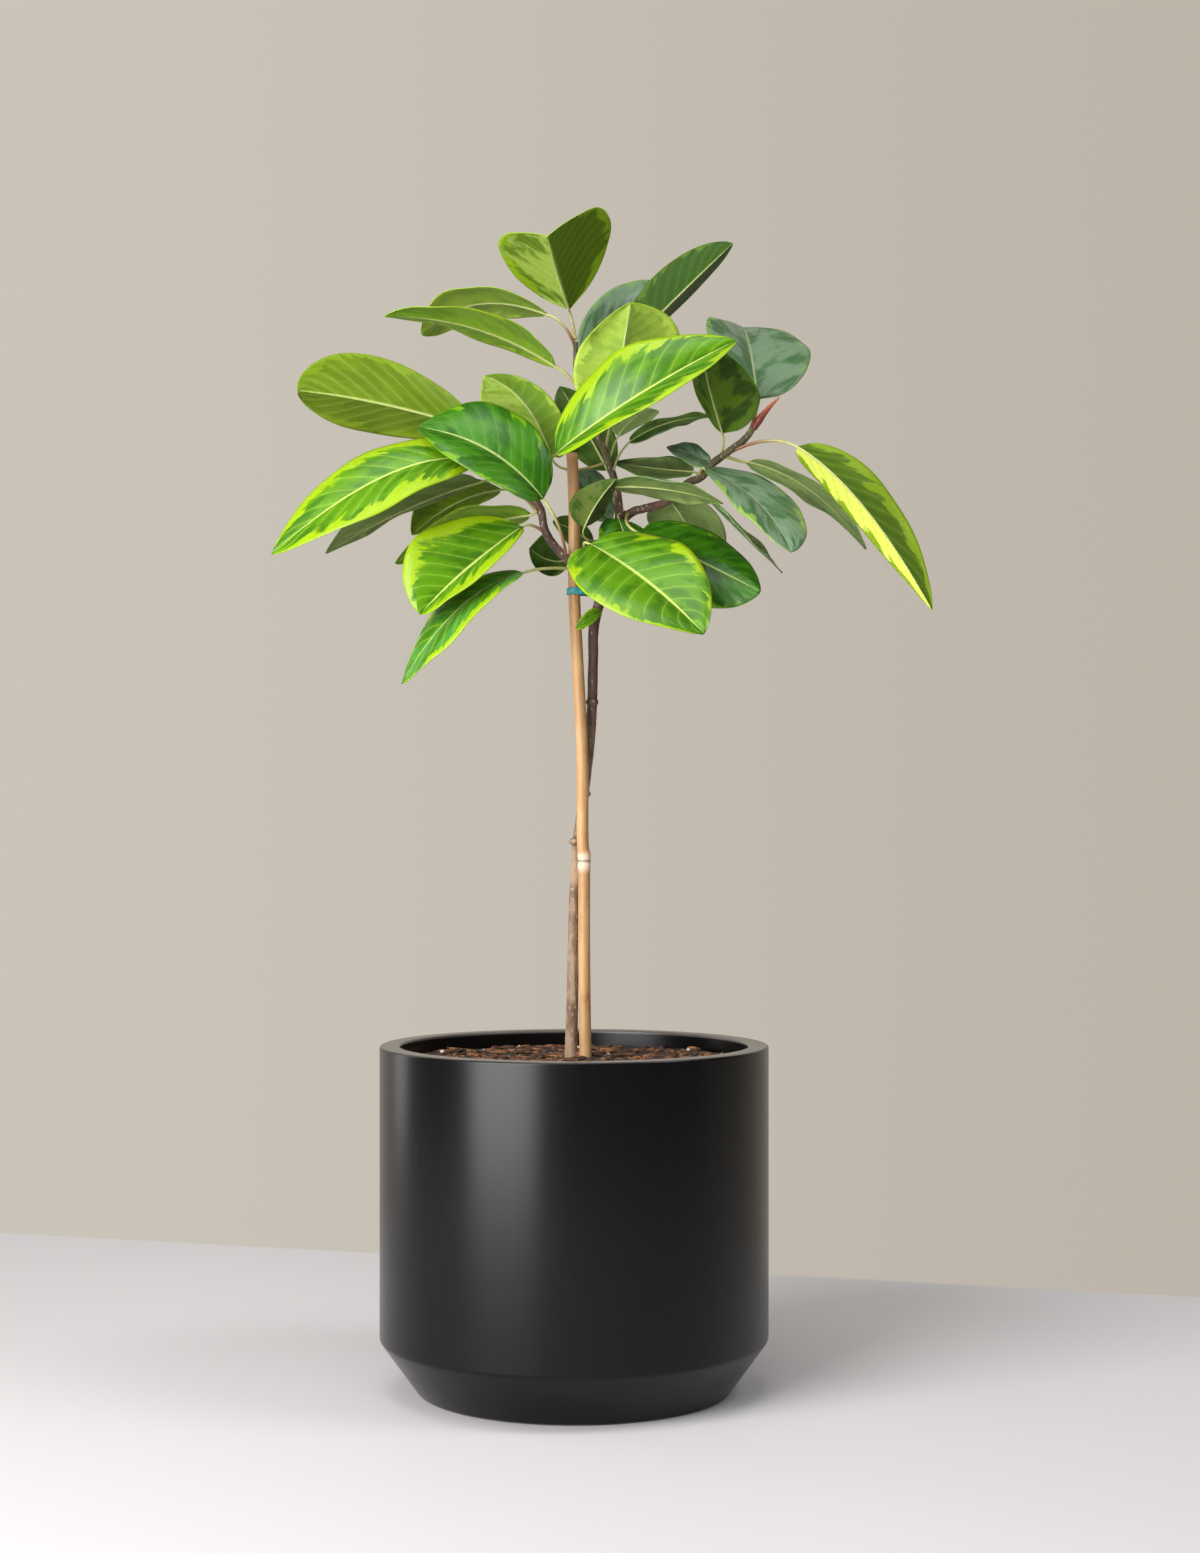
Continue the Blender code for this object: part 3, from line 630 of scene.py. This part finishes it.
def spun_mesh(name, profile, segments):
    """A closed body of revolution about Z, from a profile that starts and ends on the axis."""
    mesh = bpy.data.meshes.new(name)
    edges = [(i, i + 1) for i in range(len(profile) - 1)]
    mesh.from_pydata([(p[0], 0.0, p[1]) for p in profile], edges, [])
    made = bpy.data.objects.new(name, mesh)
    bpy.context.scene.collection.objects.link(made)
    turn = made.modifiers.new("turn", "SCREW")
    turn.axis = "Z"
    turn.steps = segments
    turn.render_steps = segments
    turn.use_merge_vertices = True
    turn.merge_threshold = 0.00005
    turn.use_smooth_shade = True
    result = evaluated_mesh(made)
    bpy.data.objects.remove(made, do_unlink=True)
    weld(result)
    smooth(result)
    return result


def weld(mesh):
    shape = bmesh.new()
    shape.from_mesh(mesh)
    bmesh.ops.remove_doubles(shape, verts=shape.verts, dist=0.00001)
    bmesh.ops.recalc_face_normals(shape, faces=shape.faces)
    shape.to_mesh(mesh)
    shape.free()


def tube_mesh(name, path, steps=6):
    """A closed round tube along a path."""
    curve = bpy.data.curves.new(name, "CURVE")
    curve.dimensions = "3D"
    curve.bevel_depth = 1.0
    curve.bevel_resolution = TUBE_SIDES_STEP
    curve.use_fill_caps = True
    curve.resolution_u = steps
    line = curve.splines.new("BEZIER")
    line.bezier_points.add(len(path) - 1)
    for knot, (x, y, z, radius) in zip(line.bezier_points, path):
        knot.co = (x * MM, y * MM, z * MM)
        knot.radius = radius * MM
        knot.handle_left_type = "AUTO"
        knot.handle_right_type = "AUTO"
    drawn = bpy.data.objects.new(name, curve)
    bpy.context.scene.collection.objects.link(drawn)
    mesh = evaluated_mesh(drawn)
    bpy.data.objects.remove(drawn, do_unlink=True)
    weld(mesh)
    smooth(mesh)
    return mesh


def bezier(start, control, end, t):
    return start * (1 - t) ** 2 + control * (2 * t * (1 - t)) + end * t**2


def bezier_direction(start, control, end, t):
    return ((control - start) * (1 - t) + (end - control) * t).normalized()


def blade_width(t):
    """Share of the full half-width at t along the midrib."""
    return math.sin(math.pi * min(max(t, 0.0), 1.0) ** 0.868) ** (0.5 + 0.22 * t)


class LeafShape:
    """A leaf's skin and stalk, from its six measured points."""

    def __init__(self, foot, base, middle, tip, left, right, seed):
        self.seed = seed
        self.foot = Vector(foot) * MM
        self.base = Vector(base) * MM
        self.tip = Vector(tip) * MM
        self.control = Vector(middle) * MM * 2 - (self.base + self.tip) / 2
        self.widest = bezier(self.base, self.control, self.tip, BLADE_WIDEST)
        self.heading = bezier_direction(self.base, self.control, self.tip, BLADE_WIDEST)
        self.left = Vector(left) * MM - self.widest
        self.right = Vector(right) * MM - self.widest
        self.up = self.heading.cross(self.left - self.right).normalized()
        start = bezier_direction(self.base, self.control, self.tip, 0.0)
        self.stalk_control = self.base - start * (self.base - self.foot).length * 0.45

    def turned(self, offset, t):
        """An offset carried from the widest place to t, turning with the midrib."""
        now = bezier_direction(self.base, self.control, self.tip, t)
        return self.heading.rotation_difference(now) @ offset

    def relief(self, across, t):
        """Height of the blade's skin above its plain surface: swellings between veins, edge waves."""
        side = abs(across)
        lane = t - side * VEIN_SWEEP
        between = math.cos(2 * math.pi * (lane * VEINS + 0.37 * self.seed))
        fade = min(1.0, side * 5) * (1 - side**4) * min(1.0, (1 - t) * 6)
        half = 1.0 if across > 0 else -1.0
        wave = math.sin(9.0 * t + self.seed * 2.1 + half) + 0.5 * math.sin(17.0 * t - self.seed + half * 2)
        swell = math.sin(3.1 * across + 4.0 * t + self.seed) * 0.0006 * min(1.0, side * 3)
        return VEIN_RELIEF * between * fade + EDGE_WAVE * wave * side**3 * min(1.0, t * 5, (1 - t) * 4) + swell

    def blade(self, across, t):
        middle = bezier(self.base, self.control, self.tip, t)
        edge = self.left if across < 0 else self.right
        share = abs(across)
        reach = edge * blade_width(t)
        size = min(1.0, edge.length / 0.04)
        if reach.length < BLADE_EDGE_WIDTH:
            reach = edge.normalized() * BLADE_EDGE_WIDTH
        belly = self.up * (reach.length * BLADE_BELLY * 4 * share * (1 - share))
        lift = self.up * (self.relief(across, t) * size)
        return middle + self.turned(reach * share + belly + lift, t)

    def spine(self, s):
        """Centre of the stalk for s from -1 to 0, and of the midrib for s from 0 to 1."""
        if s < 0:
            return bezier(self.foot, self.stalk_control, self.base, 1 + s)
        return bezier(self.base, self.control, self.tip, s)


def leaf_mesh(name, form):
    """Blade grid with its leaf map, ready to be thickened."""
    mesh = bpy.data.meshes.new(name)
    shape = bmesh.new()
    leaf_map = shape.loops.layers.uv.new("leaf")
    bmesh.ops.create_grid(shape, x_segments=BLADE_COLUMNS, y_segments=BLADE_ROWS, size=1.0)
    for face in shape.faces:
        face.smooth = True
        for loop in face.loops:
            x, y = loop.vert.co.x, loop.vert.co.y
            loop[leaf_map].uv = (math.copysign(abs(x) ** 1.25, x), (y + 1) / 2)
    for vert in shape.verts:
        x, y = vert.co.x, vert.co.y
        vert.co = form.blade(math.copysign(abs(x) ** 1.25, x), (y + 1) / 2)
    shape.to_mesh(mesh)
    shape.free()
    return mesh


def stalk_mesh(name, form):
    """Round stalk that runs on under the blade as a tapering midrib."""
    mesh = bpy.data.meshes.new(name)
    shape = bmesh.new()
    leaf_map = shape.loops.layers.uv.new("leaf")
    stops = [-1 + row / STALK_ROWS for row in range(STALK_ROWS)]
    stops += [RIB_END * row / RIB_ROWS for row in range(RIB_ROWS + 1)]
    size = min(1.0, max(0.55, (form.tip - form.base).length / 0.11))
    rings = []
    for s in stops:
        ahead = form.spine(min(s + 0.01, 1.0))
        here = form.spine(s)
        heading = (ahead - form.spine(s - 0.01 if s > -0.99 else s)).normalized()
        up = form.turned(form.up, max(s, 0.0))
        side = heading.cross(up).normalized()
        up = side.cross(heading)
        radius = STALK_RADIUS * size * (1.12 - 0.25 * (s + 1)) if s < 0 else STALK_RADIUS * size * 0.87 * (1 - s) ** 0.8
        radius = max(radius, 0.0002)
        sink = radius * 0.55 if s >= 0 else radius * 0.55 * max(0.0, 1 + s * 6)
        ring = []
        for corner in range(STALK_SIDES):
            angle = 2 * math.pi * corner / STALK_SIDES
            offset = side * math.cos(angle) + up * math.sin(angle)
            ring.append(shape.verts.new(here - up * sink + offset * radius))
        rings.append(ring)
    for row in range(len(stops) - 1):
        for corner in range(STALK_SIDES):
            following = (corner + 1) % STALK_SIDES
            face = shape.faces.new((rings[row][corner], rings[row][following], rings[row + 1][following], rings[row + 1][corner]))
            face.smooth = True
            for loop, s in zip(face.loops, (stops[row], stops[row], stops[row + 1], stops[row + 1])):
                loop[leaf_map].uv = (0.0, s)
    shape.faces.new(list(reversed(rings[0])))
    shape.faces.new(rings[-1])
    bmesh.ops.recalc_face_normals(shape, faces=shape.faces)
    shape.to_mesh(mesh)
    shape.free()
    return mesh


def thickened(mesh, name, skins):
    """The blade skin as a closed sheet: the first skin is its upper side, the second its under side."""
    made = bpy.data.objects.new(name, mesh)
    bpy.context.scene.collection.objects.link(made)
    for skin in skins:
        mesh.materials.append(skin)
    skin = made.modifiers.new("skin", "SOLIDIFY")
    skin.thickness = BLADE_THICKNESS
    skin.offset = 0.0
    skin.material_offset = 1
    result = evaluated_mesh(made)
    bpy.data.objects.remove(made, do_unlink=True)
    return result


def joined(first, second, second_slot):
    """The second mesh added to the first, its faces given one material slot."""
    shape = bmesh.new()
    shape.from_mesh(first)
    count = len(shape.faces)
    shape.from_mesh(second)
    shape.faces.ensure_lookup_table()
    for face in shape.faces[count:]:
        face.material_index = second_slot
    shape.to_mesh(first)
    shape.free()
    return first


def make_leaf(name, points, seed, stalk):
    form = LeafShape(*points, seed)
    upper, under = LEAF_LOOKS[name]
    skins = [
        leaf_skin(name + "_upper", upper, seed, False),
        leaf_skin(name + "_under", under, seed, True),
        stalk,
    ]
    blade = thickened(leaf_mesh(name, form), name, skins)
    mesh = joined(blade, stalk_mesh(name + "_stalk", form), 2)
    return add_piece("foliage_" + name, mesh, "leaf_" + name, [])


def make_planter():
    inner = POT_RADIUS - POT_WALL
    corners = [
        (0.0, POT_FLOOR),
        (inner - 0.026, POT_FLOOR),
        (inner, POT_FLOOR + 0.040),
        (inner, POT_HEIGHT),
        (POT_RADIUS, POT_HEIGHT),
        (POT_RADIUS, POT_CHAMFER_HEIGHT),
        (POT_FOOT_RADIUS, 0.0),
        (0.0, 0.0),
    ]
    profile = rounded_profile(corners, POT_EDGE_ROUND, POT_ROUND_STEPS)
    mesh = spun_mesh("planter", profile, POT_SEGMENTS)
    return add_piece("planter", mesh, "pot", [pot_skin()])


def lumpy(place, chip, turn):
    """A crumb of bark: a small ball stretched, turned and roughened."""
    shape = bmesh.new()
    bmesh.ops.create_icosphere(shape, subdivisions=2, radius=1.0)
    for vert in shape.verts:
        rough = 1 + 0.35 * noise.noise(vert.co * 1.7 + Vector((turn, place.x * 90, place.y * 90)))
        vert.co = Vector((vert.co.x * chip[0], vert.co.y * chip[1], vert.co.z * chip[2])) * rough
    rolled = (turn * 1.7) % 0.9 - 0.45
    for vert in shape.verts:
        x, y, z = vert.co
        y, z = y * math.cos(rolled) - z * math.sin(rolled), y * math.sin(rolled) + z * math.cos(rolled)
        vert.co = Vector((x * math.cos(turn) - y * math.sin(turn), x * math.sin(turn) + y * math.cos(turn), z)) + place
    return shape


def make_soil():
    """Potting mix with an uneven crumbly top, bark chips and a few pale grains lying in it."""
    outer = POT_RADIUS - POT_WALL - 0.0002
    top = [(outer * ring / SOIL_RINGS, SOIL_LEVEL) for ring in range(SOIL_RINGS + 1)]
    bottom = [(outer, SOIL_LEVEL - SOIL_DEPTH), (0.0, SOIL_LEVEL - SOIL_DEPTH)]
    mesh = spun_mesh("soil", top + bottom, SOIL_SEGMENTS)

    def level(x, y):
        spot = Vector((x, y, 0.0))
        rise = 0.0030 * noise.noise(spot * 28) + 0.0022 * noise.noise(spot * 75) + 0.0012 * noise.noise(spot * 210)
        near_stem = math.exp(-((x - 0.003) ** 2 + y**2) / 0.0011)
        return SOIL_LEVEL + rise + 0.004 * near_stem

    for vert in mesh.vertices:
        if vert.co.z > SOIL_LEVEL - 0.001:
            vert.co.z = level(vert.co.x, vert.co.y)
    made = bmesh.new()
    made.from_mesh(mesh)
    choose = random.Random(7)
    for number in range(BARK_CHIPS + PALE_GRAINS):
        reach = outer * math.sqrt(choose.random()) * 0.96
        angle = choose.uniform(0, 2 * math.pi)
        pale = number >= BARK_CHIPS
        length = choose.uniform(0.0012, 0.0022) if pale else choose.uniform(0.002, 0.0085)
        wide = length * choose.uniform(0.7, 1.0) if pale else min(length, choose.uniform(0.0011, 0.0028))
        thick = length * 0.8 if pale else choose.uniform(0.0007, 0.0016)
        x, y = reach * math.cos(angle), reach * math.sin(angle)
        place = Vector((x, y, level(x, y) + thick * 0.5))
        crumb = lumpy(place, (length, wide, thick), choose.uniform(0, 2 * math.pi))
        slot = 3 if pale else choose.choice((1, 1, 2))
        piece = bpy.data.meshes.new("crumb")
        crumb.to_mesh(piece)
        crumb.free()
        count = len(made.faces)
        made.from_mesh(piece)
        made.faces.ensure_lookup_table()
        for face in made.faces[count:]:
            face.material_index = slot
            face.smooth = True
        bpy.data.meshes.remove(piece)
    made.to_mesh(mesh)
    made.free()
    skins = [
        soil_skin(),
        chip_skin("bark_chip_brown", (0.020, 0.009, 0.005), (0.095, 0.042, 0.018)),
        chip_skin("bark_chip_orange", (0.080, 0.032, 0.011), (0.300, 0.120, 0.040)),
        chip_skin("pale_grain", (0.42, 0.39, 0.34), (0.78, 0.75, 0.70)),
    ]
    return add_piece("potting_mix", mesh, "soil", skins)


def make_stem():
    """Trunk, branches, leader and scars melted into one skin, with shallow bark relief."""
    mesh = tube_mesh("trunk", TRUNK)
    for name, path in (("right", RIGHT_BRANCH), ("left", LEFT_BRANCH), ("leader", LEADER)):
        mesh = joined(mesh, tube_mesh(name, path), 0)
    shape = bmesh.new()
    shape.from_mesh(mesh)
    for x, y, z, radius in LEAF_SCARS:
        ball = bmesh.ops.create_uvsphere(shape, u_segments=20, v_segments=12, radius=radius * MM)
        bmesh.ops.scale(shape, verts=ball["verts"], vec=(1.0, 1.0, 0.6))
        bmesh.ops.translate(shape, verts=ball["verts"], vec=(x * MM, y * MM, z * MM))
    shape.to_mesh(mesh)
    shape.free()
    rough = bpy.data.objects.new("stem_rough", mesh)
    bpy.context.scene.collection.objects.link(rough)
    melt = rough.modifiers.new("melt", "REMESH")
    melt.mode = "VOXEL"
    melt.voxel_size = 0.0008
    skin = evaluated_mesh(rough)
    bpy.data.objects.remove(rough, do_unlink=True)
    shape = bmesh.new()
    shape.from_mesh(skin)
    bmesh.ops.smooth_vert(shape, verts=shape.verts, factor=0.5, use_axis_x=True, use_axis_y=True, use_axis_z=True)
    shape.normal_update()
    for vert in shape.verts:
        long_way = Vector((vert.co.x * 420, vert.co.y * 420, vert.co.z * 60))
        rings = noise.noise(Vector((vert.co.x * 30, vert.co.y * 30, vert.co.z * 330)))
        vert.co -= vert.normal * (0.00022 + 0.00028 * noise.noise(long_way) + 0.00018 * rings)
    shape.to_mesh(skin)
    shape.free()
    smooth(skin)
    return add_piece("woody_stem", skin, "stem", [bark_skin()])


def make_tie():
    """A flat band looped round the stake and the trunk together, its edges a little rolled."""
    bearing = math.atan2(TIE_ROUND_TRUNK[1] - TIE_ROUND_STAKE[1], TIE_ROUND_TRUNK[0] - TIE_ROUND_STAKE[0])
    loop = []
    for end, (cx, cy, reach) in ((0.0, TIE_ROUND_TRUNK), (math.pi, TIE_ROUND_STAKE)):
        for step in range(25):
            angle = bearing + end - math.pi / 2 + math.pi * step / 24
            loop.append((cx * MM, cy * MM, reach * MM, angle))
    rows = 7
    verts = []
    for row in range(rows):
        share = row / (rows - 1) * 2 - 1
        for cx, cy, reach, angle in loop:
            grown = reach - 0.00025 * share**2 + 0.0001 * math.sin(angle * 5 + share)
            height = TIE_LEVEL + share * TIE_HEIGHT / 2 * (0.97 + 0.03 * math.sin(angle * 3))
            verts.append((cx + grown * math.cos(angle), cy + grown * math.sin(angle), height))
    count = len(loop)
    faces = []
    for row in range(rows - 1):
        for i in range(count):
            j = (i + 1) % count
            faces.append((row * count + i, row * count + j, (row + 1) * count + j, (row + 1) * count + i))
    mesh = bpy.data.meshes.new("tie")
    mesh.from_pydata(verts, [], faces)
    smooth(mesh)
    made = add_piece("plant_tie", mesh, "tie", [tie_skin()])
    band = made.modifiers.new("band", "SOLIDIFY")
    band.thickness = TIE_THICKNESS
    band.offset = 0.0
    return made


def make_bud(name, path, node, skin):
    """A pointed bud sheath with a slight spiral fold."""
    mesh = tube_mesh(name, path, 10)
    for vert in mesh.vertices:
        angle = math.atan2(vert.co.y - path[0][1] * MM, vert.co.x - path[0][0] * MM)
        vert.co -= vert.normal * (0.00012 * (1 + math.sin(angle * 5 + vert.co.z * 260)))
    return add_piece(name, mesh, node, [skin])


def make_stake():
    mesh = tube_mesh("cane", STAKE, 8)
    for vert in mesh.vertices:
        spot = Vector((vert.co.x * 300, vert.co.y * 300, vert.co.z * 25))
        vert.co -= vert.normal * (0.0001 + 0.0001 * noise.noise(spot))
    return add_piece("bamboo_cane", mesh, "stake", [bamboo_skin()])


def make_plant():
    make_planter()
    make_soil()
    make_stem()
    make_stake()
    make_tie()
    make_bud("bud_sheath_right", BUD_RIGHT, "bud_right", bud_skin("bud_dark_red", (0.16, 0.030, 0.014), (0.42, 0.10, 0.035), 0.866, 0.890))
    make_bud("bud_sheath_left", BUD_LEFT, "bud_left", bud_skin("bud_orange", (0.30, 0.075, 0.022), (0.62, 0.24, 0.070), 0.812, 0.835))
    pale = stalk_skin("stalk_pale", (0.42, 0.48, 0.15), (0.36, 0.30, 0.10))
    reddish = stalk_skin("stalk_reddish", (0.45, 0.50, 0.17), (0.24, 0.09, 0.04))
    for seed, (name, *points) in enumerate(LEAVES):
        make_leaf(name, points, seed + 1, reddish if name in REDDISH_STALKS else pale)


REDDISH_STALKS = ("out_b", "left_a", "right_a", "right_c", "low_a", "left_b", "left_d", "core_a")


def soft_box(name, place, aim, width, height, watts, colour):
    lamp = bpy.data.lights.new(name, "AREA")
    lamp.shape = "RECTANGLE"
    lamp.size = width
    lamp.size_y = height
    lamp.energy = watts
    lamp.color = colour
    made = bpy.data.objects.new(name, lamp)
    made.location = place
    made.rotation_euler = (Vector(aim) - Vector(place)).to_track_quat("-Z", "Y").to_euler()
    bpy.context.scene.collection.objects.link(made)


def make_floor():
    """Pale floor that turns into the backdrop's own colour past the backdrop line."""
    mesh = bpy.data.meshes.new("floor")
    shape = bmesh.new()
    bmesh.ops.create_grid(shape, x_segments=4, y_segments=4, size=12.0)
    shape.to_mesh(mesh)
    shape.free()
    floor = bpy.data.objects.new("floor", mesh)
    floor.location.z = -0.0004
    bpy.context.scene.collection.objects.link(floor)
    s = Shades("floor_pale")
    x, y, _ = s.split(s.place())
    slope = (BACKDROP_RIGHT[1] - BACKDROP_LEFT[1]) / (BACKDROP_RIGHT[0] - BACKDROP_LEFT[0])
    rise = s.math("MULTIPLY", s.math("SUBTRACT", x, BACKDROP_LEFT[0]), slope)
    line = s.math("SUBTRACT", s.math("SUBTRACT", y, BACKDROP_LEFT[1]), rise)
    s.finish(FLOOR_COLOUR, 0.6, Specular_IOR_Level=0.1)
    wall = s.nodes.new("ShaderNodeEmission")
    s.put(wall.inputs["Color"], wall_tone(s, s.math("DIVIDE", x, s.math("ADD", s.math("MAXIMUM", y, 0.0), CAMERA_BACK))))
    join = s.nodes.new("ShaderNodeMixShader")
    s.put(join.inputs[0], s.ramp(line, -0.006, 0.006))
    s.links.new(s.shader.outputs[0], join.inputs[1])
    s.links.new(wall.outputs[0], join.inputs[2])
    s.links.new(join.outputs[0], s.nodes["Material Output"].inputs["Surface"])
    mesh.materials.append(s.material)


def wall_tone(s, sideways):
    """Backdrop colour, a little lighter on the left."""
    return s.mix(s.ramp(sideways, -0.26, 0.26), WALL_LEFT, WALL_RIGHT)


def make_backdrop():
    """Plain wall far behind, glowing evenly so that it needs no light of its own."""
    mesh = bpy.data.meshes.new("backdrop")
    mesh.from_pydata([(-14, 0, -1), (14, 0, -1), (14, 0, 9), (-14, 0, 9)], [], [(0, 1, 2, 3)])
    wall = bpy.data.objects.new("backdrop", mesh)
    wall.location.y = BACKDROP_AWAY
    bpy.context.scene.collection.objects.link(wall)
    s = Shades("backdrop_greige")
    x, _, _ = s.split(s.place())
    glow = s.nodes.new("ShaderNodeEmission")
    s.put(glow.inputs["Color"], wall_tone(s, s.math("DIVIDE", x, BACKDROP_AWAY + CAMERA_BACK)))
    s.links.new(glow.outputs[0], s.nodes["Material Output"].inputs["Surface"])
    mesh.materials.append(s.material)


def make_world():
    world = bpy.data.worlds.new("surroundings")
    world.use_nodes = True
    bpy.context.scene.world = world
    background = world.node_tree.nodes["Background"]
    background.inputs["Color"].default_value = (*SURROUND_COLOUR, 1.0)
    background.inputs["Strength"].default_value = 1.0


def make_lights():
    soft_box("key_left", (-1.50, -1.80, 1.00), (0.0, 0.0, 0.50), 1.7, 2.1, 116.0, (1.0, 0.99, 1.0))
    soft_box("top", (-0.4, -0.9, 3.0), (0.0, 0.0, 0.4), 1.8, 1.8, 40.0, (1.0, 1.0, 1.0))
    soft_box("edge_left", (-2.2, 1.1, 0.9), (0.0, 0.0, 0.55), 0.6, 1.8, 9.0, (1.0, 0.98, 0.95))
    soft_box("fill_right", (1.9, -0.6, 2.6), (0.1, 0.0, 0.80), 1.0, 1.0, 30.0, (0.93, 0.97, 1.0))


def make_camera():
    lens = bpy.data.cameras.new("camera")
    lens.lens = CAMERA_LENS
    lens.sensor_width = 36.0
    lens.shift_y = CAMERA_SHIFT
    lens.clip_start = 0.05
    lens.clip_end = 60.0
    camera = bpy.data.objects.new("camera", lens)
    camera.location = CAMERA_PLACE
    camera.rotation_euler = (math.radians(90), 0.0, 0.0)
    bpy.context.scene.collection.objects.link(camera)
    bpy.context.scene.camera = camera
    bpy.context.scene.view_settings.view_transform = "Standard"


make_camera()
make_world()
make_lights()
make_floor()
make_backdrop()
make_plant()

bpy.context.view_layer.update()
